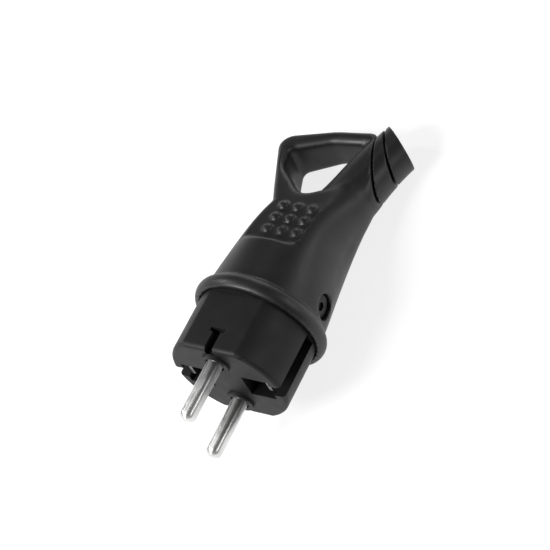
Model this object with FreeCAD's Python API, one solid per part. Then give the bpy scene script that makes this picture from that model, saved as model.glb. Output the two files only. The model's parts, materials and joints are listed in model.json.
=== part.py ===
import FreeCAD, Part
import math
import os

# Rubber power plug with a pull handle, lying on its side.
# It is drawn in the plug's own frame: the face with the pins is at y = 0 and the pins point
# to -Y, x runs to the side of the angled cable outlet, z runs along the line of the two pins.
# Every piece is then laid down together, so that the plug rests on z = 0.

V = FreeCAD.Vector

# Pins and face, millimetres
pin_spacing = 19.0
pin_diameter = 4.8
pin_length = 19.0
pin_tip_flat = 2.2
pin_shank_diameter = 5.4
pin_neck_diameter = 4.3
pin_neck_length = 1.0
pin_collar_diameter = 8.4
pin_collar_height = 0.8
pin_recess_diameter = 5.8
face_rounding = 1.4

# Insert
insert_diameter = 36.2
insert_flats = 32.0
insert_length = 18.6
seat_depth = 2.6
barrel_diameter = 29.0
barrel_flats = 27.6
barrel_length = 13.6
guide_stem_width = 3.8
guide_bar_width = 7.0
guide_bar_length = 1.3
guide_length = 7.4
guide_depth = 1.6

# Earth recesses and bracket
recess_width = 8.4
recess_inner = 6.0
recess_margin = 1.0
recess_depth = 13.0
slot_width = 4.4
leg_width = 3.6
leg_thickness = 1.0
leg_margin = 0.9
flat_margin = 0.2
leg_front = 1.2
bracket_seat = 3.4

# Terminals
head_diameter = 7.0
head_length = 8.4
head_chamber = 7.7
wire_window = 3.4
wire_depth = 6.6
terminal_screw_place = 28.6
terminal_screw_diameter = 2.6
terminal_screw_head = 4.4
terminal_screw_head_height = 1.5
clamp_plate_thickness = 0.7
clamp_plate_length = 4.6
earth_block_length = 7.4
earth_block_size = 6.6
earth_block_x = -3.4
rivet_diameter = 2.2
rivet_head_diameter = 4.0
rivet_head_height = 0.6
rivet_length = 1.8
rivet_cover = 0.4
chamber_width = 7.2
chamber_end = 6.0

# Cap and cable clamp
cap_diameter = 26.4
cap_thickness = 1.6
wire_hole = 4.0
cradle_length = 11.0
cradle_diameter = 20.0
cradle_half_width = 9.0
cradle_depth = 6.4
cradle_gap = 0.7
cable_channel = 8.8
cover_screw_diameter = 2.4
cover_screw_head = 4.2
cover_screw_head_height = 1.4
cover_screw_length = 8.0
cover_screw_x = 8.8
cover_screw_z = 6.6
saddle_thickness = 4.2
saddle_length = 5.0
saddle_place = 4.6
clamp_screw_diameter = 2.2
clamp_screw_head = 3.6
clamp_screw_head_height = 1.4
clamp_screw_z = 6.3
clamp_screw_depth = 5.0

# Flange ring and rubber body
ring_centre = 21.2
ring_radius = 20.5
ring_half_thickness = 3.3
ring_lip = 1.0
collar_radius = 18.3
rear_collar = 33.0
rear_collar_radius = 17.4
waist = 46.0
waist_half_width = 15.6
waist_half_height = 14.7
waist_offset = 0.45
waist_tilt = 2.0
shoulder = 58.0
shoulder_half_width = 12.4
shoulder_half_height = 13.2
shoulder_offset = 2.2
shoulder_tilt = 8.0
flatness = 2.4
throat = 68.0
throat_half_width = 8.2
throat_half_height = 8.1
throat_offset = 9.1

# Cable outlet
outlet_x = 16.2
outlet_y = 88.0
outlet_radius = 7.4
outlet_tilt = 23.0
outlet_face_tilt = 40.0
neck_length = 10.0
neck_radius = 7.7
cable_bore = 8.8
cable_bore_length = 26.0
cable_room = 10.4
clamp_gap = 0.4
screw_gap = 0.1
rear_overrun = 10.0
groove_width = 0.5
groove_depth = 1.0
first_groove_x = 12.4
first_groove_y = 79.2
first_groove_tilt = 69.0
second_groove_x = 14.3
second_groove_y = 83.7
second_groove_tilt = 61.0

# Finger loop, each corner as x, y and its radius
loop_outline = [
    (-6.5, 50.0, 3.0),
    (-12.2, 61.3, 12.0),
    (-20.3, 78.3, 4.5),
    (-18.9, 82.5, 5.0),
    (-3.8, 87.1, 20.0),
    (10.4, 88.8, 3.0),
    (12.4, 66.0, 3.0),
]
loop_opening = [
    (-15.2, 77.2, 2.0),
    (-13.6, 70.0, 8.0),
    (-1.4, 59.8, 4.0),
    (9.4, 66.0, 3.0),
    (13.0, 84.2, 1.0),
    (-3.4, 82.3, 8.0),
]
loop_rounding = 2.2

# Grip panels with their dimples
panel_front = 39.2
panel_level = 14.1
panel_slope = 10.0
panel_edge = 8.9
panel_corner = 3.0
dimple_pitch_across = 4.85
dimple_pitch_along = 4.95
dimple_centre_x = 1.3
dimple_centre_y = 48.8
dimple_diameter = 3.7
dimple_height = 1.0
dimple_rows = 3
dimple_columns = 3

# Housing screw and its nut
housing_screw_place = 29.5
counterbore_diameter = 7.6
counterbore_floor = 15.1
screw_head_diameter = 6.9
screw_head_height = 1.2
screw_head_rounding = 0.3
screw_diameter = 3.0
screw_length = 8.0
screw_socket = 2.9
screw_socket_depth = 0.8
nut_width = 5.5
nut_thickness = 2.4
nut_place = 9.4

# Clearances between pieces that fit into each other
pin_fit = 0.05
fit = 0.15
play = 0.3

barrel_radius = barrel_diameter / 2
seat_y = insert_length + seat_depth
barrel_end = seat_y + barrel_length
chamber_floor = seat_y + bracket_seat
head_end = chamber_floor + head_length
earth_window_front = chamber_floor + leg_thickness + rivet_length + rivet_cover
earth_screw_place = earth_window_front + clamp_plate_length / 2 + play
cap_front = barrel_end - cap_thickness
cradle_end = barrel_end + cradle_length
saddle_y = barrel_end + saddle_place
panel_fall = math.tan(math.radians(panel_slope))
pin_z = pin_spacing / 2
leg_outer = min(barrel_radius - leg_margin, barrel_flats / 2 - flat_margin)
recess_outer = leg_outer + recess_margin
plate_rear = outlet_y + rear_overrun
clamp_screw_top = cradle_gap + saddle_thickness + clamp_screw_head_height
clamp_screw_reach = math.hypot(clamp_screw_top, clamp_screw_z + clamp_screw_head / 2)
clamp_room = max(cradle_diameter / 2 + clamp_gap, clamp_screw_reach + screw_gap)
far = 60.0
X = V(1, 0, 0)
Y = V(0, 1, 0)
Z = V(0, 0, 1)
ORIGIN = V(0, 0, 0)


def cylinder(diameter, start, end):
    axis = end - start
    return Part.makeCylinder(diameter / 2, axis.Length, start, axis)


def block(x_range, y_range, z_range):
    low = V(x_range[0], y_range[0], z_range[0])
    return Part.makeBox(x_range[1] - x_range[0], y_range[1] - y_range[0], z_range[1] - z_range[0], low)


def prism(corners, low, high):
    # Upright prism over an outline in x and y, each corner rounded by its own radius
    points = [V(x, y, low) for x, y, radius in corners]
    count = len(points)
    arcs = []
    for i in range(count):
        before = (points[i - 1] - points[i]).normalize()
        after = (points[(i + 1) % count] - points[i]).normalize()
        half = before.getAngle(after) / 2
        radius = corners[i][2]
        reach = radius / math.tan(half)
        middle = (before + after).normalize()
        inner = points[i] + middle * (radius / math.sin(half) - radius)
        arcs.append(Part.Arc(points[i] + before * reach, inner, points[i] + after * reach).toShape())
    edges = []
    for i in range(count):
        start = arcs[i].Vertexes[-1].Point
        end = arcs[(i + 1) % count].Vertexes[0].Point
        edges += [arcs[i], Part.LineSegment(start, end).toShape()]
    return Part.Face(Part.Wire(edges)).extrude(V(0, 0, high - low))


def section(centre, tilt, half_width, half_height, power=2.0):
    # Rounded section of the body: an oval whose sides grow flatter with the power
    along = V(math.cos(math.radians(tilt)), -math.sin(math.radians(tilt)), 0)
    points = []
    steps = 16
    for step in range(steps):
        angle = 2 * math.pi * step / steps
        c = math.cos(angle)
        s = math.sin(angle)
        u = math.copysign(abs(c) ** (2 / power), c) * half_height
        w = math.copysign(abs(s) ** (2 / power), s) * half_width
        points.append(centre + along * u + Z * w)
    curve = Part.BSplineCurve()
    curve.interpolate(Points=points, PeriodicFlag=True)
    return Part.Wire([curve.toShape()])


def outlet_point(back):
    # Point on the axis of the cable outlet, the given distance before its end
    tilt = math.radians(outlet_tilt)
    return V(outlet_x - back * math.sin(tilt), outlet_y - back * math.cos(tilt), 0)


def half_space(point, tilt):
    # Everything past a plane whose normal is tilted from +Y to +X
    slab = Part.makeBox(2 * far, far, 2 * far, V(-far, 0, -far))
    slab.rotate(ORIGIN, Z, -tilt)
    slab.translate(point)
    return slab


def flange_ring():
    # Bead round the front of the body, with a shallow step round the insert
    front = ring_centre - ring_half_thickness
    back = ring_centre + ring_half_thickness
    inner = ring_radius - ring_half_thickness
    step = front + ring_lip
    rim = math.sqrt(ring_half_thickness ** 2 - (ring_half_thickness - ring_lip) ** 2) + inner
    profile = [
        Part.LineSegment(V(0, step, 0), V(rim, step, 0)).toShape(),
        Part.Arc(V(rim, step, 0), V(ring_radius, ring_centre, 0), V(inner, back, 0)).toShape(),
        Part.LineSegment(V(inner, back, 0), V(0, back, 0)).toShape(),
        Part.LineSegment(V(0, back, 0), V(0, step, 0)).toShape(),
    ]
    return Part.Face(Part.Wire(profile)).revolve(ORIGIN, Y, 360)


def grip():
    # Tapered trunk from the flange ring to the root of the loop and the outlet
    waist_place = V(waist_offset, waist, 0)
    shoulder_place = V(shoulder_offset, shoulder, 0)
    throat_place = V(throat_offset, throat, 0)
    sections = [
        section(V(0, ring_centre, 0), 0, collar_radius, collar_radius),
        section(V(0, rear_collar, 0), 0, rear_collar_radius, rear_collar_radius),
        section(waist_place, waist_tilt, waist_half_width, waist_half_height, flatness),
        section(shoulder_place, shoulder_tilt, shoulder_half_width, shoulder_half_height, flatness),
        section(throat_place, outlet_tilt, throat_half_width, throat_half_height),
    ]
    return Part.makeLoft(sections, True, False)


def outlet_tube(inset=0.0):
    # Round cable outlet, from inside the grip to past its end
    overrun = outlet_radius * math.tan(math.radians(outlet_face_tilt - outlet_tilt)) + 1
    throat_place = V(throat_offset, throat, 0)
    root = throat_place - (outlet_point(0) - outlet_point(1)) * throat_half_height
    stations = [
        (root, throat_half_width, throat_half_height),
        (throat_place, throat_half_width, throat_half_height),
        (outlet_point(neck_length), neck_radius, neck_radius),
        (outlet_point(0), outlet_radius, outlet_radius),
        (outlet_point(-overrun), outlet_radius, outlet_radius),
    ]
    sections = []
    for place, half_width, half_height in stations:
        sections.append(section(place, outlet_tilt, half_width - inset, half_height - inset))
    return Part.makeLoft(sections, True, False)


def panel_height(y):
    # Half thickness of the flat grip panels and of the loop behind them
    return panel_level - (y - panel_front) * panel_fall


def above_panel(side):
    # Space outside one grip panel, from its front step to the rear end
    outline = [
        V(-far, panel_front, side * panel_height(panel_front)),
        V(-far, plate_rear, side * panel_height(plate_rear)),
        V(-far, plate_rear, side * far),
        V(-far, panel_front, side * far),
    ]
    wedge = Part.Face(Part.makePolygon(outline + [outline[0]])).extrude(V(2 * far, 0, 0))
    corners = [
        (-far, panel_front, panel_corner),
        (panel_edge, panel_front, panel_corner),
        (panel_edge, plate_rear, panel_corner),
        (-far, plate_rear, panel_corner),
    ]
    return wedge.common(prism(corners, -far, far))


def between_panels(front):
    # Space between the planes of the two grip panels, back to the rear end
    outline = [
        V(-far, front, panel_height(front)),
        V(-far, plate_rear, panel_height(plate_rear)),
        V(-far, plate_rear, -panel_height(plate_rear)),
        V(-far, front, -panel_height(front)),
    ]
    return Part.Face(Part.makePolygon(outline + [outline[0]])).extrude(V(2 * far, 0, 0))


def loop_plate():
    # Outer form of the finger loop, its faces in line with the grip panels
    plate = prism(loop_outline, -far, far).common(between_panels(loop_outline[0][1] - 1))
    return plate.makeFillet(loop_rounding, rims(plate))


def loop_hole():
    # The finger hole with its rounded rims
    hole = prism(loop_opening, -far, far)
    box = hole.BoundBox
    margin = 2 * loop_rounding
    area = block((box.XMin - margin, box.XMax + margin), (box.YMin - margin, plate_rear), (-far, far))
    plate = area.common(between_panels(waist))
    frame = plate.cut(hole)
    inner = [e for e in rims(frame) if box.isInside(e.CenterOfGravity)]
    return hole.fuse(plate.cut(frame.makeFillet(loop_rounding, inner)))


def rims(shape):
    # Edges that run along one of the two faces of the loop
    found = []
    for edge in shape.Edges:
        ends = [vertex.Point.z for vertex in edge.Vertexes]
        if min(ends) * max(ends) > 0:
            found.append(edge)
    return found


def dimples(side):
    # Round caps that stand on a grip panel in rows
    radius = (dimple_height ** 2 + (dimple_diameter / 2) ** 2) / (2 * dimple_height)
    slope = math.radians(panel_slope)
    caps = []
    for row in range(dimple_rows):
        for column in range(dimple_columns):
            x = dimple_centre_x + (column - (dimple_columns - 1) / 2) * dimple_pitch_across
            along = (row - (dimple_rows - 1) / 2) * dimple_pitch_along
            y = dimple_centre_y + along * math.cos(slope)
            sunk = radius - dimple_height
            normal = V(0, math.sin(slope), math.cos(slope))
            centre = V(x, y, panel_height(y)) - normal * sunk
            caps.append(Part.makeSphere(radius, V(centre.x, centre.y, side * centre.z)))
    return caps


def body_cavity():
    # Room for the insert, the terminals, the cable clamp and the cable
    step = ring_centre - ring_half_thickness - 1
    head_room = cover_screw_head_height + play
    seat = cylinder(insert_diameter + 2 * fit, V(0, step, 0), V(0, seat_y, 0))
    barrel = cylinder(barrel_diameter + 2 * play, V(0, seat_y - 1, 0), V(0, barrel_end + head_room, 0))
    half = barrel_flats / 2 + play
    barrel = barrel.common(block((-half, half), (0, far), (-far, far)))
    clamp = cylinder(2 * clamp_room, V(0, barrel_end, 0), V(0, cradle_end + play, 0))
    length = (outlet_y - cradle_end) / math.cos(math.radians(outlet_tilt))
    room = cylinder(cable_room, outlet_point(length + play), outlet_point(cable_bore_length))
    bore = cylinder(cable_bore, outlet_point(cable_bore_length + 1), outlet_point(-outlet_radius))
    return [seat, barrel, clamp, room, bore]


def cut_off_grooves():
    # Two thin grooves round the outlet, where it is cut to suit a thicker cable
    skin = outlet_tube(-play).cut(outlet_tube(groove_depth))
    grooves = []
    places = [
        (V(first_groove_x, first_groove_y, 0), first_groove_tilt),
        (V(second_groove_x, second_groove_y, 0), second_groove_tilt),
    ]
    for place, tilt in places:
        slab = Part.makeBox(2 * far, groove_width, 2 * far, V(-far, 0, -far))
        slab.rotate(ORIGIN, Z, -tilt)
        slab.translate(place)
        grooves.append(slab.common(skin))
    return grooves


def rubber_body():
    grip_form = flange_ring().fuse([grip(), loop_plate()])
    for side in (1, -1):
        grip_form = grip_form.cut(above_panel(side))
    grip_form = grip_form.cut(loop_hole())
    body = grip_form.fuse([outlet_tube()] + dimples(1) + dimples(-1))
    body = body.cut(half_space(outlet_point(0), outlet_face_tilt))
    body = body.cut(body_cavity() + cut_off_grooves())
    bore_end = V(collar_radius + 1, housing_screw_place, 0)
    body = body.cut(cylinder(counterbore_diameter, V(counterbore_floor, housing_screw_place, 0), bore_end))
    shank = cylinder(screw_diameter + 2 * play, V(0, housing_screw_place, 0), bore_end)
    return body.cut(shank)


def contact_carrier():
    # Insulating insert: round face with two flats, then the barrel that holds the terminals
    half = insert_flats / 2
    front = cylinder(insert_diameter, ORIGIN, V(0, seat_y, 0))
    front = front.common(block((-far, far), (-1, far), (-half, half)))
    front = front.makeFillet(face_rounding, [e for e in front.Edges if e.BoundBox.YMax < 0.01])
    for side in (1, -1):
        spot = V(0, 0, side * pin_z)
        front = front.fuse(cylinder(pin_collar_diameter, spot - Y * pin_collar_height, spot + Y))
    base = cylinder(insert_diameter, V(0, insert_length, 0), V(0, seat_y, 0))
    barrel = cylinder(barrel_diameter, V(0, insert_length, 0), V(0, barrel_end, 0))
    flat = barrel_flats / 2
    barrel = barrel.common(block((-flat, flat), (0, far), (-far, far)))
    carrier = front.fuse([base, barrel])
    return carrier.cut(pin_holes() + guide_slots() + earth_slots() + terminal_chambers() + fastener_holes())


def pin_holes():
    holes = []
    for side in (1, -1):
        spot = V(0, 0, side * pin_z)
        holes.append(cylinder(pin_shank_diameter + 2 * pin_fit, spot - Y * 2, spot + Y * far))
        holes.append(cylinder(pin_recess_diameter, spot - Y * 2, spot))
        holes.append(cylinder(head_chamber, spot + Y * chamber_floor, spot + Y * far))
    return holes


def guide_slots():
    # T-shaped guide slot in each flat, open at the face
    slots = []
    depth = insert_flats / 2 - guide_depth
    stem = guide_stem_width / 2
    bar = guide_bar_width / 2
    for low, high in ((depth, far), (-far, -depth)):
        slots.append(block((-stem, stem), (-1, guide_length), (low, high)))
        slots.append(block((-bar, bar), (guide_length - guide_bar_length, guide_length), (low, high)))
    return slots


def earth_slots():
    # Pocket in the face, side slot and groove for the bracket leg, on both sides
    cuts = []
    leg_inner = leg_outer - leg_thickness - fit
    leg_half = leg_width / 2 + fit
    slot = slot_width / 2
    for side in (1, -1):
        pocket = sorted((side * recess_inner, side * recess_outer))
        opening = sorted((side * recess_inner, side * far))
        leg = sorted((side * leg_inner, side * far))
        cuts.append(block(pocket, (-1, recess_depth), (-recess_width / 2, recess_width / 2)))
        cuts.append(block(sorted((side * leg_outer, side * far)), (-1, insert_length), (-slot, slot)))
        cuts.append(block(leg, (0, seat_y), (-leg_half, leg_half)).common(
            cylinder(2 * (leg_outer + play), ORIGIN, V(0, seat_y, 0))))
        cuts.append(block(leg, (seat_y - 1, chamber_floor + leg_thickness), (-leg_half, leg_half)))
    return cuts


def terminal_chambers():
    # Middle chamber with the slot through which the bracket slides in, and the nut's pocket
    leg_half = leg_width / 2 + fit
    half = chamber_width / 2
    nut_half = nut_width / 2 + fit
    nut_range = (nut_place - nut_thickness / 2 - fit, nut_place + nut_thickness / 2 + fit)
    nut_front = housing_screw_place - nut_width / 2 - fit
    chamber = block((-barrel_flats / 2 + 1.2, chamber_end), (chamber_floor, far), (-half, half))
    bracket_path = block((-far, far), (chamber_floor, far), (-leg_half, leg_half))
    nut_pocket = block(nut_range, (nut_front, far), (-nut_half, nut_half))
    rivet_room = cylinder(
        rivet_head_diameter + 2 * play,
        V(earth_block_x, chamber_floor - rivet_head_height - play, 0),
        V(earth_block_x, chamber_floor + 1, 0),
    )
    cap_room = cylinder(cap_diameter + 2 * play, V(0, cap_front, 0), V(0, far, 0))
    return [chamber, bracket_path, nut_pocket, rivet_room, cap_room]


def fastener_holes():
    holes = []
    reach = barrel_radius + 1
    for side in (1, -1):
        place = V(0, terminal_screw_place, side * pin_z)
        holes.append(cylinder(terminal_screw_head + 2 * play, place, place + X * reach))
        head = V(side * cover_screw_x, 0, side * cover_screw_z)
        tip = cap_front + cap_thickness - cover_screw_length - play
        holes.append(cylinder(cover_screw_diameter + 2 * pin_fit, head + Y * tip, head + Y * far))
    place = V(earth_block_x, earth_screw_place, 0)
    holes.append(cylinder(terminal_screw_head + 2 * play, place, place - X * reach))
    place = V(0, housing_screw_place, 0)
    holes.append(cylinder(screw_diameter + 2 * fit, place, place + X * reach))
    return holes


def contact_pin(side):
    # Turned pin: rounded tip, plain shank, thicker head with the window for the wire
    radius = pin_diameter / 2
    flat = pin_tip_flat / 2
    bend = radius - flat
    mid = math.sqrt(0.5) * bend
    tip = -pin_length
    edges = [
        Part.LineSegment(V(0, tip, 0), V(flat, tip, 0)).toShape(),
        Part.Arc(V(flat, tip, 0), V(flat + mid, tip + bend - mid, 0), V(radius, tip + bend, 0)).toShape(),
    ]
    neck = pin_neck_diameter / 2
    shank = pin_shank_diameter / 2
    head = head_diameter / 2
    steps = [
        V(radius, tip + bend, 0),
        V(radius, -pin_neck_length, 0),
        V(neck, -pin_neck_length, 0),
        V(neck, 0, 0),
        V(shank, 0, 0),
        V(shank, chamber_floor, 0),
        V(head, chamber_floor, 0),
        V(head, head_end, 0),
        V(0, head_end, 0),
        V(0, tip, 0),
    ]
    for start, end in zip(steps, steps[1:]):
        edges.append(Part.LineSegment(start, end).toShape())
    pin = Part.Face(Part.Wire(edges)).revolve(ORIGIN, Y, 360)
    half = wire_window / 2
    pin = pin.cut(block((-half, half), (head_end - wire_depth, head_end + 1), (-half, half)))
    place = V(0, terminal_screw_place, 0)
    pin = pin.cut(cylinder(terminal_screw_diameter + 2 * pin_fit, place, place + X * far))
    pin.translate(V(0, 0, side * pin_z))
    return pin


def slotted_screw(diameter, length, head, head_height):
    # Screw along +X with its head at the end, seat of the head at x = 0
    shank = cylinder(diameter, V(-length, 0, 0), ORIGIN)
    cap = cylinder(head, ORIGIN, X * head_height)
    slot = block((head_height * 0.5, head_height + 1), (-head, head), (-head * 0.09, head * 0.09))
    return shank.fuse(cap).cut(slot)


def terminal_screw(centre, direction, seat):
    # Clamp screw of a terminal, its tip on the pressure plate
    tip = wire_window / 2
    screw = slotted_screw(
        terminal_screw_diameter, seat - tip, terminal_screw_head, terminal_screw_head_height
    )
    screw.translate(V(seat, 0, 0))
    if direction < 0:
        screw.rotate(ORIGIN, Z, 180)
    screw.translate(centre)
    return screw


def clamp_plate(centre, direction):
    # Small pressure plate between a clamp screw and the wire
    outer = wire_window / 2
    x_range = sorted((direction * (outer - clamp_plate_thickness), direction * outer))
    half = wire_window / 2 - fit
    length = clamp_plate_length / 2
    plate = block(x_range, (-length, length), (-half, half))
    plate.translate(centre + Y * fit)
    return plate


def earth_bracket():
    # One strip: a leg in each earth recess, joined by a bridge behind the face block
    half = leg_width / 2
    inner = leg_outer - leg_thickness
    bridge_end = chamber_floor + leg_thickness
    strip = block((-leg_outer, leg_outer), (chamber_floor, bridge_end), (-half, half))
    for side in (1, -1):
        leg = block(sorted((side * inner, side * leg_outer)), (leg_front, bridge_end), (-half, half))
        strip = strip.fuse(leg)
    strip = strip.removeSplitter()
    bends = [V(side * leg_outer, bridge_end, 0) for side in (1, -1)]
    corners = [e for e in strip.Edges if min(e.CenterOfGravity.distanceToPoint(b) for b in bends) < 0.01]
    strip = strip.makeFillet(leg_thickness * 0.9, corners)
    place = V(earth_block_x, chamber_floor, 0)
    return strip.cut(cylinder(rivet_diameter + 2 * pin_fit, place - Y, place + Y * 2 * leg_thickness))


def earth_terminal():
    # Brass block on the bridge of the bracket
    front = chamber_floor + leg_thickness
    half = earth_block_size / 2
    end = front + earth_block_length
    brass = block((-half, half), (front, end), (-half, half))
    window = wire_window / 2
    brass = brass.cut(block((-window, window), (earth_window_front, end + 1), (-window, window)))
    place = V(0, earth_screw_place, 0)
    brass = brass.cut(cylinder(terminal_screw_diameter + 2 * pin_fit, place, place - X * far))
    rivet_place = V(0, front, 0)
    rivet_end = rivet_place + Y * rivet_length
    brass = brass.cut(cylinder(rivet_diameter + 2 * pin_fit, rivet_place - Y, rivet_end))
    brass.translate(V(earth_block_x, 0, 0))
    return brass


def earth_rivet():
    front = V(earth_block_x, chamber_floor, 0)
    shank = cylinder(rivet_diameter, front, front + Y * (leg_thickness + rivet_length))
    return shank.fuse(cylinder(rivet_head_diameter, front - Y * rivet_head_height, front))


def terminal_cover():
    # Insulating cap behind the terminals, with the cradle of the cable clamp
    disc = cylinder(cap_diameter, V(0, cap_front, 0), V(0, barrel_end, 0))
    half = cradle_half_width
    cradle = block((-cradle_depth, -cradle_gap), (barrel_end - 0.5, cradle_end), (-half, half))
    cradle = cradle.common(cylinder(cradle_diameter, V(0, cap_front, 0), V(0, cradle_end, 0)))
    cradle = cradle.cut(cylinder(cable_channel, V(0, barrel_end, 0), V(0, cradle_end + 1, 0)))
    cover = disc.fuse(cradle)
    cuts = []
    for side in (1, -1):
        spot = V(0, 0, side * pin_z)
        cuts.append(cylinder(wire_hole, spot + Y * cap_front, spot + Y * barrel_end))
        spot = V(side * cover_screw_x, 0, side * cover_screw_z)
        cuts.append(cylinder(cover_screw_diameter + 2 * fit, spot + Y * cap_front, spot + Y * barrel_end))
        spot = V(0, saddle_y, side * clamp_screw_z)
        tip = spot - X * (clamp_screw_depth + play)
        cuts.append(cylinder(clamp_screw_diameter + 2 * pin_fit, tip, spot))
    spot = V(earth_block_x, 0, 0)
    cuts.append(cylinder(wire_hole, spot + Y * cap_front, spot + Y * (barrel_end + 0.4)))
    return cover.cut(cuts)


def cover_screw(side):
    # Screw along -Y that holds the cap to the carrier
    screw = slotted_screw(
        cover_screw_diameter, cover_screw_length, cover_screw_head, cover_screw_head_height
    )
    screw.rotate(ORIGIN, Z, 90)
    screw.translate(V(side * cover_screw_x, barrel_end, side * cover_screw_z))
    return screw


def cable_clamp():
    # Saddle across the cable, drawn down by the two clamp screws
    half = cradle_half_width
    top = cradle_gap + saddle_thickness
    y_range = (saddle_y - saddle_length / 2, saddle_y + saddle_length / 2)
    saddle = block((cradle_gap, top), y_range, (-half, half))
    saddle = saddle.common(cylinder(cradle_diameter, V(0, cap_front, 0), V(0, cradle_end, 0)))
    saddle = saddle.cut(cylinder(cable_channel - 2 * play, V(0, cap_front, 0), V(0, cradle_end, 0)))
    holes = []
    for side in (1, -1):
        spot = V(0, saddle_y, side * clamp_screw_z)
        holes.append(cylinder(clamp_screw_diameter + 2 * fit, spot, spot + X * far))
    return saddle.cut(holes)


def clamp_screw(side):
    seat = cradle_gap + saddle_thickness
    screw = slotted_screw(
        clamp_screw_diameter, seat + clamp_screw_depth, clamp_screw_head, clamp_screw_head_height
    )
    screw.translate(V(seat, saddle_y, side * clamp_screw_z))
    return screw


def housing_screw():
    # Low round head on the counterbore's floor, with a hexagon socket
    seat = V(counterbore_floor, housing_screw_place, 0)
    head = cylinder(screw_head_diameter, seat, seat + X * screw_head_height)
    top = seat.x + screw_head_height
    head = head.makeFillet(screw_head_rounding, [e for e in head.Edges if e.BoundBox.XMin > top - 0.01])
    shank = cylinder(screw_diameter, seat - X * screw_length, seat)
    corners = []
    for step in range(7):
        angle = math.radians(60 * step)
        corners.append(V(0, math.cos(angle), math.sin(angle)) * (screw_socket / 2))
    socket = Part.Face(Part.makePolygon(corners)).extrude(X * far)
    socket.translate(seat + X * (screw_head_height - screw_socket_depth))
    return head.fuse(shank).cut(socket)


def housing_nut():
    half = nut_width / 2
    x_range = (nut_place - nut_thickness / 2, nut_place + nut_thickness / 2)
    nut = block(x_range, (housing_screw_place - half, housing_screw_place + half), (-half, half))
    place = V(0, housing_screw_place, 0)
    return nut.cut(cylinder(screw_diameter + 2 * pin_fit, place, place + X * far))


upper = V(0, terminal_screw_place, pin_z)
lower = V(0, terminal_screw_place, -pin_z)
middle = V(earth_block_x, earth_screw_place, 0)
pieces = {
    "rubber_body": rubber_body(),
    "contact_carrier": contact_carrier(),
    "line_pin": contact_pin(1),
    "neutral_pin": contact_pin(-1),
    "line_terminal_screw": terminal_screw(upper, 1, head_diameter / 2),
    "neutral_terminal_screw": terminal_screw(lower, 1, head_diameter / 2),
    "line_clamp_plate": clamp_plate(upper, 1),
    "neutral_clamp_plate": clamp_plate(lower, 1),
    "earth_bracket": earth_bracket(),
    "earth_terminal": earth_terminal(),
    "earth_rivet": earth_rivet(),
    "earth_terminal_screw": terminal_screw(middle, -1, earth_block_size / 2),
    "earth_clamp_plate": clamp_plate(middle, -1),
    "terminal_cover": terminal_cover(),
    "cover_screw_upper": cover_screw(1),
    "cover_screw_lower": cover_screw(-1),
    "cable_clamp": cable_clamp(),
    "clamp_screw_upper": clamp_screw(1),
    "clamp_screw_lower": clamp_screw(-1),
    "housing_screw": housing_screw(),
    "housing_nut": housing_nut(),
}


def resting_turn(body):
    # Turn that brings the ring, the outlet and the loop down to the floor together
    points = body.tessellate(0.05)[0]
    feet_zones = [
        [point for point in points if point.y < rear_collar],
        [point for point in points if point.y > throat and point.x > 0],
        [point for point in points if point.y > throat and point.x < 0],
    ]
    turn = FreeCAD.Rotation()
    for step in range(8):
        feet = [min((turn.multVec(point) for point in zone), key=lambda p: p.z) for zone in feet_zones]
        normal = (feet[1] - feet[0]).cross(feet[2] - feet[0])
        turn = FreeCAD.Rotation(normal, Z).multiply(turn)
    return turn


turn = resting_turn(pieces["rubber_body"])
laid = {}
for name, shape in pieces.items():
    shape.rotate(ORIGIN, turn.Axis, math.degrees(turn.Angle))
    laid[name] = shape
box = FreeCAD.BoundBox()
for shape in laid.values():
    box.add(shape.optimalBoundingBox(False))
os.makedirs("parts", exist_ok=True)
for name, shape in laid.items():
    shape.translate(V(-box.Center.x, -box.Center.y, -box.ZMin))
    print(name, shape.isValid(), len(shape.Solids), round(shape.Volume, 1))
    shape.exportStep("parts/" + name + ".step")
print("turn", turn.Axis, math.degrees(turn.Angle), "box", box)
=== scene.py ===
import json
import math

import bmesh
import bpy
from mathutils import Matrix, Vector


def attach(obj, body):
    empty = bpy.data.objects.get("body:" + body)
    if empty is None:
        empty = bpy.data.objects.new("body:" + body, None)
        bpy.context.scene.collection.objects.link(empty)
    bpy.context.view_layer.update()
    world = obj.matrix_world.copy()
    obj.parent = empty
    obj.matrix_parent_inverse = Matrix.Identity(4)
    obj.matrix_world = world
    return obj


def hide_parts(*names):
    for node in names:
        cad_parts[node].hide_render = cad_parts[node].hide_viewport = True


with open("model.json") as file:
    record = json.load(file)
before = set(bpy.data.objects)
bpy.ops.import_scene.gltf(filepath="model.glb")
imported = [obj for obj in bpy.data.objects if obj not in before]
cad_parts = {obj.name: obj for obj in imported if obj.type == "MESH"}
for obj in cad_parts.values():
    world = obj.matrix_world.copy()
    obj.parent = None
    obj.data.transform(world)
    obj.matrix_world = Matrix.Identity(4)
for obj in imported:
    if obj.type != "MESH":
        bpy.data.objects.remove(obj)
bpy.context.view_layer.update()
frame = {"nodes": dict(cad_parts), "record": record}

# The plug's own axes, in which it was drawn: x to the side that the cable outlet bends to, y from
# the pins to the rear, z along the line of the two pins. The face with the pins is at y = 0.
# Shapes and places below are given in these axes in millimetres, and laid down with the plug.
mounts = {mount["name"]: mount for mount in frame["record"]["mounts"]}
rearward = -Vector(mounts["face"]["axis"])
pin_line = Vector(mounts["line_pin"]["pos_m"]) - Vector(mounts["neutral_pin"]["pos_m"])
upward = pin_line.normalized()
sideward = rearward.cross(upward)
plug = Matrix((sideward, rearward, upward)).transposed().to_4x4()
plug.translation = Vector(mounts["face"]["pos_m"])
millimetre = Matrix.Scale(0.001, 4)
on_plug = plug @ millimetre
off_plug = on_plug.inverted()

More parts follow.
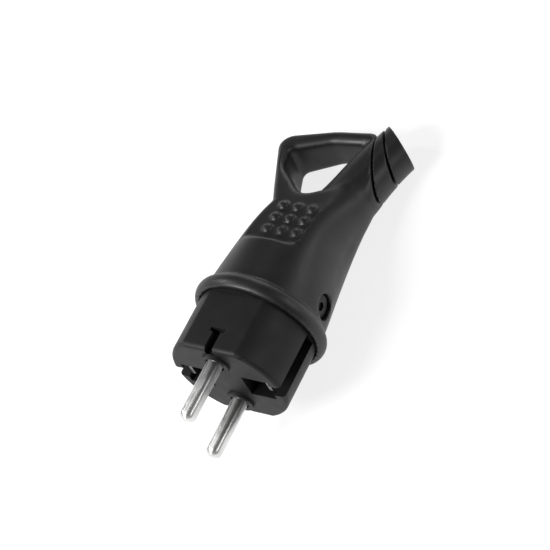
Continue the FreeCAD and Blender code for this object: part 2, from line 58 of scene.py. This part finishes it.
# Camera: the place that the photograph was taken from, in front of the plug's face and to the
# side of its outlet, with the directions that run to the right and up in the picture.
camera_place = Vector((306.24, -216.71, 427.78))
picture_right = Vector((0.835, 0.421, -0.354))
picture_up = Vector((-0.154, 0.797, 0.584))
focal_length = 132.5
film_width = 36.0
nearest = 10
farthest = 20000
camera = bpy.data.objects.new("camera", bpy.data.cameras.new("camera"))
bpy.context.scene.collection.objects.link(camera)
camera.data.sensor_width = film_width
camera.data.lens = focal_length
camera.data.clip_start = nearest / 1000
camera.data.clip_end = farthest / 1000
right = (plug.to_3x3() @ picture_right).normalized()
up = plug.to_3x3() @ picture_up
up = (up - right * up.dot(right)).normalized()
camera.matrix_world = Matrix((right, up, right.cross(up))).transposed().to_4x4()
camera.matrix_world.translation = on_plug @ camera_place
bpy.context.scene.camera = camera

# Studio floor: a plain sheet far wider than the picture. It glows evenly, so that it comes out
# white and only a faint shadow of the plug is left on it.
floor_width = 6000
floor_grey = (0.3, 0.3, 0.3, 1)
floor_glow = 0.8
floor_roughness = 0.8
floor_shine = 0.1
floor_mesh = bmesh.new()
bmesh.ops.create_grid(floor_mesh, x_segments=1, y_segments=1, size=floor_width / 2 / 1000)
floor_data = bpy.data.meshes.new("floor")
floor_mesh.to_mesh(floor_data)
floor_mesh.free()
floor = bpy.data.objects.new("floor", floor_data)
bpy.context.scene.collection.objects.link(floor)
floor_paint = bpy.data.materials.new("floor_paint")
floor_paint.use_nodes = True
floor_shader = floor_paint.node_tree.nodes["Principled BSDF"]
floor_shader.inputs["Base Color"].default_value = floor_grey
floor_shader.inputs["Emission Color"].default_value = (1, 1, 1, 1)
floor_shader.inputs["Emission Strength"].default_value = floor_glow
floor_shader.inputs["Roughness"].default_value = floor_roughness
floor_shader.inputs["Specular IOR Level"].default_value = floor_shine
floor_data.materials.append(floor_paint)

# Studio light: a dim even room, a large soft box in front of the pins, a small one beside the
# loop, and three narrow strips that draw the highlights along the grip, its top and the ring.
# Places are in the plug's own axes.
bpy.context.scene.view_settings.view_transform = "Standard"
room_strength = 0.12
# Name of each lamp, its place, length and width in millimetres, and its power in watts
lamps = [
    ("front_box", (-330, -700, 620), 420, 420, 12.0),
    ("side_strip", (800, 360, 380), 700, 140, 2.0),
    ("overhead_strip", (-100, 350, 850), 600, 90, 0.3),
    ("loop_side_box", (-680, -20, 570), 150, 150, 2.0),
    ("rear_strip", (-150, 900, 300), 120, 320, 0.8),
]
lamp_aim = Vector((0, 45, 0))
world = bpy.data.worlds.new("room")
world.use_nodes = True
world.node_tree.nodes["Background"].inputs["Color"].default_value = (1, 1, 1, 1)
world.node_tree.nodes["Background"].inputs["Strength"].default_value = room_strength
bpy.context.scene.world = world
for lamp_name, place, length, width, power in lamps:
    lamp = bpy.data.lights.new(lamp_name, "AREA")
    lamp.shape = "RECTANGLE"
    lamp.size = width / 1000
    lamp.size_y = length / 1000
    lamp.energy = power
    backward = (Vector(place) - lamp_aim).normalized()
    lengthways = (Vector((0, 1, 0)) - backward * backward.y).normalized()
    turn = Matrix((lengthways.cross(backward), lengthways, backward)).transposed()
    holder = bpy.data.objects.new(lamp_name, lamp)
    holder.matrix_world = plug @ Matrix.Translation(Vector(place) / 1000) @ turn.to_4x4()
    bpy.context.scene.collection.objects.link(holder)

# Rubber body: one black rubber moulding with the flange ring, the tapered grip, its dimpled
# panels, the finger loop and the cable outlet. Its end can be cut off at either of two thin
# grooves round the outlet, to suit a thicker cable. It is pulled over the insert.
groove_width = 0.5
# Of each groove, a point (x, y) on its near side and the angle from y to x that it faces
groove_planes = [((12.4, 79.2), 69.0), ((14.3, 83.7), 61.0)]
segment_slimming = [0.1, 0.2]
merge_gap = 0.002
cut_gap = 0.0001
pole_gap = 0.0001
soften_share = 0.5
body_cell = 0.48
body_rounds = 4
segment_cell = 0.3
segment_rounds = 3
panel_front = 39.2
panel_level = 14.1
panel_slope = 10.0
# Two opposite corners of each box where the rubber blends softly, and how many times it is smoothed
soft_zones = [
    ((-20, 38.0, 12.0), (10.0, 40.6, 20.0), 12),
    ((3.5, 54.0, 5.5), (15.0, 73.5, 14.0), 6),
    ((3.5, 55.5, 5.5), (15.0, 73.5, 14.0), 6),
    ((3.5, 57.0, 5.5), (15.0, 73.5, 14.0), 8),
    ((3.5, 58.5, 5.5), (15.0, 73.5, 14.0), 12),
    ((-7.0, 56.5, 5.0), (3.5, 64.0, 13.0), 16),
]
dimple_centre = (1.3, 48.8)
dimple_pitch = (4.85, 4.95)
dimple_radius = 1.8
dimple_height = 1.15
dimple_root = 0.6
dimple_steps = 8
dimple_sides = 36


def drawn_place(place):
    # Place in the plug's own axes, both halves of the plug folded onto the upper one
    x, y, z = off_plug @ place
    return x, y, abs(z)


def groove(number):
    # Middle plane of one groove, as a point and the direction towards the outlet's end
    (x, y), tilt = groove_planes[number]
    normal = Vector((math.sin(math.radians(tilt)), math.cos(math.radians(tilt)), 0))
    place = Vector((x, y, 0)) + normal * groove_width / 2
    return on_plug @ place, plug.to_3x3() @ normal


def cut_copy(node, planes):
    # Closed copy of a solid, kept on the inner side of each plane
    mesh = bmesh.new()
    mesh.from_mesh(frame["nodes"][node].data)
    bmesh.ops.remove_doubles(mesh, verts=mesh.verts, dist=merge_gap / 1000)
    for place, normal in planes:
        everything = mesh.verts[:] + mesh.edges[:] + mesh.faces[:]
        cut = bmesh.ops.bisect_plane(
            mesh,
            geom=everything,
            dist=cut_gap / 1000,
            plane_co=place,
            plane_no=normal,
            clear_outer=True,
        )
        rim = [part for part in cut["geom_cut"] if isinstance(part, bmesh.types.BMEdge)]
        bmesh.ops.triangle_fill(mesh, edges=rim, use_beauty=True)
    bmesh.ops.recalc_face_normals(mesh, faces=mesh.faces)
    return mesh


def softened(mesh, name, cell, rounds):
    # The mesh rebuilt in even cells and smoothed, which gives its edges a moulded radius
    data = bpy.data.meshes.new(name)
    mesh.to_mesh(data)
    mesh.free()
    rough = bpy.data.objects.new(name, data)
    bpy.context.scene.collection.objects.link(rough)
    cells = rough.modifiers.new("cells", "REMESH")
    cells.mode = "VOXEL"
    cells.voxel_size = cell / 1000
    cells.adaptivity = 0.0
    soften = rough.modifiers.new("soften", "SMOOTH")
    soften.factor = soften_share
    soften.iterations = rounds
    seen = rough.evaluated_get(bpy.context.evaluated_depsgraph_get())
    result = bmesh.new()
    result.from_mesh(seen.to_mesh())
    bpy.data.objects.remove(rough)
    return result


def dimple_grid(mesh, side):
    # Three rows of three round caps on one grip panel, each a closed cap turned from its profile
    height = dimple_height
    radius = (height ** 2 + dimple_radius ** 2) / (2 * height)
    half_angle = math.asin(dimple_radius / radius)
    slope = math.radians(panel_slope)
    for row in (-1, 0, 1):
        for column in (-1, 0, 1):
            y = dimple_centre[1] + row * dimple_pitch[1] * math.cos(slope)
            level = panel_level - (y - panel_front) * math.tan(slope)
            foot = Vector((dimple_centre[0] + column * dimple_pitch[0], y, side * level))
            outward = Vector((0, math.sin(slope), side * math.cos(slope)))
            cap = bmesh.new()
            line = [
                cap.verts.new((0, 0, -dimple_root)),
                cap.verts.new((dimple_radius, 0, -dimple_root)),
            ]
            for step in range(dimple_steps + 1):
                angle = half_angle * (1 - step / dimple_steps)
                line.append(
                    cap.verts.new(
                        (radius * math.sin(angle), 0, radius * math.cos(angle) - radius + height)
                    )
                )
            edges = [cap.edges.new(pair) for pair in zip(line, line[1:])]
            bmesh.ops.spin(
                cap,
                geom=line + edges,
                axis=(0, 0, 1),
                angle=2 * math.pi,
                steps=dimple_sides,
                use_merge=True,
            )
            bmesh.ops.remove_doubles(cap, verts=cap.verts, dist=pole_gap)
            bmesh.ops.recalc_face_normals(cap, faces=cap.faces)
            bmesh.ops.rotate(
                cap, verts=cap.verts, matrix=outward.to_track_quat("Z", "Y").to_matrix()
            )
            bmesh.ops.translate(cap, verts=cap.verts, vec=foot)
            bmesh.ops.transform(cap, verts=cap.verts, matrix=on_plug)
            part = bpy.data.meshes.new("cap")
            cap.to_mesh(part)
            cap.free()
            mesh.from_mesh(part)


def finished(mesh, name, material):
    # Object made from a finished mesh, smooth shaded and in its material
    data = bpy.data.meshes.new(name)
    mesh.to_mesh(data)
    mesh.free()
    data.shade_smooth()
    data.materials.append(material)
    piece = bpy.data.objects.new(name, data)
    bpy.context.scene.collection.objects.link(piece)
    return piece


def shader_of(material):
    # Node tree of a material and the shader in it
    material.use_nodes = True
    return material.node_tree, material.node_tree.nodes["Principled BSDF"]


def grain(tree, shader, scale, strength, distance):
    # Fine moulded or rolled texture as a bump over the whole surface, its depth in metres
    place = tree.nodes.new("ShaderNodeTexCoord")
    noise = tree.nodes.new("ShaderNodeTexNoise")
    noise.inputs["Scale"].default_value = scale
    noise.inputs["Detail"].default_value = 4.0
    bump = tree.nodes.new("ShaderNodeBump")
    bump.inputs["Strength"].default_value = strength
    bump.inputs["Distance"].default_value = distance
    tree.links.new(place.outputs["Object"], noise.inputs["Vector"])
    tree.links.new(noise.outputs["Fac"], bump.inputs["Height"])
    tree.links.new(bump.outputs["Normal"], shader.inputs["Normal"])
    return place


def mottle(tree, shader, place, socket, scale, low, high):
    # Slow variation of one value over the surface
    noise = tree.nodes.new("ShaderNodeTexNoise")
    noise.inputs["Scale"].default_value = scale
    noise.inputs["Detail"].default_value = 3.0
    spread = tree.nodes.new("ShaderNodeMapRange")
    spread.inputs["From Min"].default_value = 0.3
    spread.inputs["From Max"].default_value = 0.7
    spread.inputs["To Min"].default_value = low
    spread.inputs["To Max"].default_value = high
    tree.links.new(place.outputs["Object"], noise.inputs["Vector"])
    tree.links.new(noise.outputs["Fac"], spread.inputs["Value"])
    tree.links.new(spread.outputs["Result"], shader.inputs[socket])


def tint(tree, shader, place, scale, dark, light):
    # Slow variation of the colour over the surface
    noise = tree.nodes.new("ShaderNodeTexNoise")
    noise.inputs["Scale"].default_value = scale
    noise.inputs["Detail"].default_value = 5.0
    ramp = tree.nodes.new("ShaderNodeValToRGB")
    ramp.color_ramp.elements[0].position = 0.35
    ramp.color_ramp.elements[0].color = (*dark, 1)
    ramp.color_ramp.elements[1].position = 0.65
    ramp.color_ramp.elements[1].color = (*light, 1)
    tree.links.new(place.outputs["Object"], noise.inputs["Vector"])
    tree.links.new(noise.outputs["Fac"], ramp.inputs["Fac"])
    tree.links.new(ramp.outputs["Color"], shader.inputs["Base Color"])


rubber = bpy.data.materials.new("black_rubber")
rubber_tree, rubber_shader = shader_of(rubber)
rubber_shader.inputs["Specular IOR Level"].default_value = 0.5
rubber_place = grain(rubber_tree, rubber_shader, 5200.0, 0.25, 0.00006)
mottle(rubber_tree, rubber_shader, rubber_place, "Roughness", 160.0, 0.42, 0.5)
rubber_dark = (0.004, 0.004, 0.0043)
rubber_light = (0.0065, 0.0065, 0.0068)
tint(rubber_tree, rubber_shader, rubber_place, 90.0, rubber_dark, rubber_light)

first, second = groove(0), groove(1)
first_back = (first[0], -first[1])
second_back = (second[0], -second[1])
body_mesh = softened(cut_copy("rubber_body", [first]), "grip", body_cell, body_rounds)
for planes, step in zip(([first_back, second], [second_back]), segment_slimming):
    ring = softened(cut_copy("rubber_body", planes), "ring", segment_cell, segment_rounds)
    for vert in ring.verts:
        vert.co -= vert.normal * step / 1000
    part = bpy.data.meshes.new("ring")
    ring.to_mesh(part)
    ring.free()
    body_mesh.from_mesh(part)
for corner, opposite, rounds in soft_zones:
    zone = [
        vert
        for vert in body_mesh.verts
        if all(
            low < value < high
            for low, value, high in zip(corner, drawn_place(vert.co), opposite)
        )
    ]
    for _ in range(rounds):
        bmesh.ops.smooth_vert(
            body_mesh,
            verts=zone,
            factor=soften_share,
            use_axis_x=True,
            use_axis_y=True,
            use_axis_z=True,
        )
for side in (1, -1):
    dimple_grid(body_mesh, side)
body = finished(body_mesh, "rubber_grip", rubber)
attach(body, "root")
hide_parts("rubber_body")

# Insert: a hard moulded carrier for the contacts, round with two flats, guide slots and a pocket
# for the earth spring on each side. The rubber body is pulled over its rear end.
insert_edge = 0.22
edge_steps = 2
slot_floor = 14.4
slot_rear = 7.4
# Half the width of a guide slot's stem and of its bar, each in the solid and as it is seen
slot_stem = (1.9, 1.3)
slot_bar = (3.5, 2.4)
slot_extra_depth = 1.3
slot_edge = 0.05
same_place = 0.02
flat_angle = 0.5
sharp_angle = 35


def slot_drawn(place):
    # A corner of a guide slot moved to the slot's seen width and depth, any other point as it is
    x, y, z = place
    if abs(z) > slot_floor - slot_edge and y < slot_rear + slot_edge:
        if abs(abs(x) - slot_stem[0]) < same_place:
            x = math.copysign(slot_stem[1], x)
        elif abs(abs(x) - slot_bar[0]) < same_place:
            x = math.copysign(slot_bar[1], x)
        if abs(abs(z) - slot_floor) < same_place:
            z = math.copysign(slot_floor - slot_extra_depth, z)
    return Vector((x, y, z))


def crisp_copy(node, width):
    # Copy of a solid with its flat faces merged and its edges slightly broken
    mesh = bmesh.new()
    mesh.from_mesh(frame["nodes"][node].data)
    bmesh.ops.remove_doubles(mesh, verts=mesh.verts, dist=merge_gap / 1000)
    bmesh.ops.dissolve_limit(
        mesh, angle_limit=math.radians(flat_angle), verts=mesh.verts, edges=mesh.edges
    )
    for vert in mesh.verts:
        vert.co = on_plug @ slot_drawn(off_plug @ vert.co)
    sharp = [
        edge
        for edge in mesh.edges
        if edge.is_manifold and edge.calc_face_angle() > math.radians(sharp_angle)
    ]
    bmesh.ops.bevel(
        mesh,
        geom=sharp,
        offset=width / 1000,
        offset_type="OFFSET",
        affect="EDGES",
        segments=edge_steps,
        profile=0.5,
        material=-1,
        clamp_overlap=True,
    )
    return mesh


hard_black = bpy.data.materials.new("hard_black_moulding")
hard_tree, hard_shader = shader_of(hard_black)
hard_shader.inputs["Specular IOR Level"].default_value = 0.25
hard_place = grain(hard_tree, hard_shader, 7000.0, 0.12, 0.00003)
mottle(hard_tree, hard_shader, hard_place, "Roughness", 220.0, 0.48, 0.56)
tint(hard_tree, hard_shader, hard_place, 120.0, (0.008, 0.008, 0.0082), (0.011, 0.011, 0.0112))
insert_mesh = crisp_copy("contact_carrier", insert_edge)
insert = finished(insert_mesh, "contact_insert", hard_black)
even = insert.modifiers.new("even_normals", "WEIGHTED_NORMAL")
even.weight = 100
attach(insert, "root")
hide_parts("contact_carrier")

# Contact pins: turned from brass and nickel plated, with a rounded end that has a small flat.
# Each is pushed into the insert from behind, and its thick head takes the wire and its screw.
# The thin neck at the face is an addition that the photograph doesn't show.
pin_radius = 2.4
pin_spacing = 19.0
pin_length = 19.0
tip_flat = 0.9
tip_ring = 0.54
neck_radius = 2.15
neck_length = 1.0
shank_radius = 2.7
head_radius = 3.5
head_start = 24.6
head_end = 33.0
head_chamfer = 0.2
tip_steps = 12
pin_sides = 64

plated = bpy.data.materials.new("nickel_plate")
plated_tree, plated_shader = shader_of(plated)
plated_shader.inputs["Metallic"].default_value = 0.9
plated_shader.inputs["Anisotropic"].default_value = 0.9
along_pin = plated_tree.nodes.new("ShaderNodeCombineXYZ")
for axis, value in zip("XYZ", rearward):
    along_pin.inputs[axis].default_value = value
plated_tree.links.new(along_pin.outputs["Vector"], plated_shader.inputs["Tangent"])
plated_place = grain(plated_tree, plated_shader, 2600.0, 0.06, 0.00002)
mottle(plated_tree, plated_shader, plated_place, "Roughness", 300.0, 0.36, 0.44)
tint(plated_tree, plated_shader, plated_place, 150.0, (0.7, 0.7, 0.695), (0.78, 0.78, 0.77))


def turned(profile, steps, centre):
    # Closed body turned round the y axis from a profile of (radius, y)
    mesh = bmesh.new()
    line = [mesh.verts.new((radius, y, 0)) for radius, y in profile]
    edges = [mesh.edges.new((a, b)) for a, b in zip(line, line[1:])]
    bmesh.ops.spin(
        mesh,
        geom=line + edges,
        cent=(0, 0, 0),
        axis=(0, 1, 0),
        angle=2 * math.pi,
        steps=steps,
        use_merge=True,
    )
    bmesh.ops.remove_doubles(mesh, verts=mesh.verts, dist=pole_gap)
    bmesh.ops.recalc_face_normals(mesh, faces=mesh.faces)
    bmesh.ops.translate(mesh, vec=centre, verts=mesh.verts)
    bmesh.ops.transform(mesh, matrix=on_plug, verts=mesh.verts)
    return mesh


def pin_profile():
    # Half section of a pin from its tip to the end of its head, as points of (radius, y)
    bend = pin_radius - tip_flat
    points = [(0, -pin_length), (tip_ring, -pin_length)]
    for step in range(tip_steps + 1):
        angle = math.radians(90 * step / tip_steps)
        radius = tip_flat + bend * math.sin(angle)
        points.append((radius, -pin_length + bend * (1 - math.cos(angle))))
    points += [(pin_radius, -neck_length), (neck_radius, -neck_length), (neck_radius, 0)]
    points += [(shank_radius, 0), (shank_radius, head_start)]
    points += [(head_radius - head_chamfer, head_start), (head_radius, head_start + head_chamfer)]
    points += [(head_radius, head_end - head_chamfer), (head_radius - head_chamfer, head_end)]
    points.append((0, head_end))
    return points


for pin_name, node, side in (("upper_pin", "line_pin", 1), ("lower_pin", "neutral_pin", -1)):
    pin_place = Vector((0, 0, side * pin_spacing / 2))
    pin = finished(turned(pin_profile(), pin_sides, pin_place), pin_name, plated)
    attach(pin, "root")
    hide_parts(node)

# Earth bracket, screws, nut, plates, cap and cable clamp: small parts in the form of their solids.
# The metal is zinc plated steel, except the blackened housing screw and the brass block with its
# rivet. The zinc is coloured much darker than bright zinc: painted shade, which makes the earth
# clip in its slot look shaded. The cap behind the terminals and the cable clamp are grey mouldings.
zinc_and_painted_shade = bpy.data.materials.new("zinc_plate_with_painted_shade")
zinc_and_painted_shade_tree, zinc_and_painted_shade_shader = shader_of(zinc_and_painted_shade)
zinc_and_painted_shade_shader.inputs["Metallic"].default_value = 1.0
zinc_and_painted_shade_place = grain(zinc_and_painted_shade_tree, zinc_and_painted_shade_shader, 1800.0, 0.08, 0.00002)
mottle(zinc_and_painted_shade_tree, zinc_and_painted_shade_shader, zinc_and_painted_shade_place, "Roughness", 400.0, 0.3, 0.45)
# Painted shade: the zinc colour is kept far darker than bright zinc, so the earth clip in its slot
# comes out dark
tint(zinc_and_painted_shade_tree, zinc_and_painted_shade_shader, zinc_and_painted_shade_place, 260.0, (0.16, 0.165, 0.17), (0.24, 0.245, 0.25))

black_steel = bpy.data.materials.new("blackened_steel")
black_tree, black_shader = shader_of(black_steel)
black_shader.inputs["Metallic"].default_value = 0.8
black_place = grain(black_tree, black_shader, 2400.0, 0.1, 0.00002)
mottle(black_tree, black_shader, black_place, "Roughness", 350.0, 0.35, 0.5)
tint(black_tree, black_shader, black_place, 200.0, (0.02, 0.02, 0.021), (0.035, 0.035, 0.036))

brass = bpy.data.materials.new("turned_brass")
brass_tree, brass_shader = shader_of(brass)
brass_shader.inputs["Metallic"].default_value = 1.0
brass_place = grain(brass_tree, brass_shader, 2000.0, 0.08, 0.00002)
mottle(brass_tree, brass_shader, brass_place, "Roughness", 350.0, 0.25, 0.38)
tint(brass_tree, brass_shader, brass_place, 180.0, (0.62, 0.42, 0.17), (0.72, 0.52, 0.24))

grey_moulding = bpy.data.materials.new("grey_moulding")
grey_tree, grey_shader = shader_of(grey_moulding)
grey_place = grain(grey_tree, grey_shader, 5000.0, 0.15, 0.00003)
mottle(grey_tree, grey_shader, grey_place, "Roughness", 240.0, 0.4, 0.5)
tint(grey_tree, grey_shader, grey_place, 120.0, (0.13, 0.13, 0.13), (0.17, 0.17, 0.17))

finishes = {
    "plated_steel": zinc_and_painted_shade,
    "black_steel": black_steel,
    "brass": brass,
    "grey_plastic": grey_moulding,
}
slots = {part["node"]: part["material_slot"] for part in frame["record"]["subparts"]}
for node, solid in frame["nodes"].items():
    finish = finishes.get(slots[node])
    if finish:
        solid.data.materials.clear()
        solid.data.materials.append(finish)
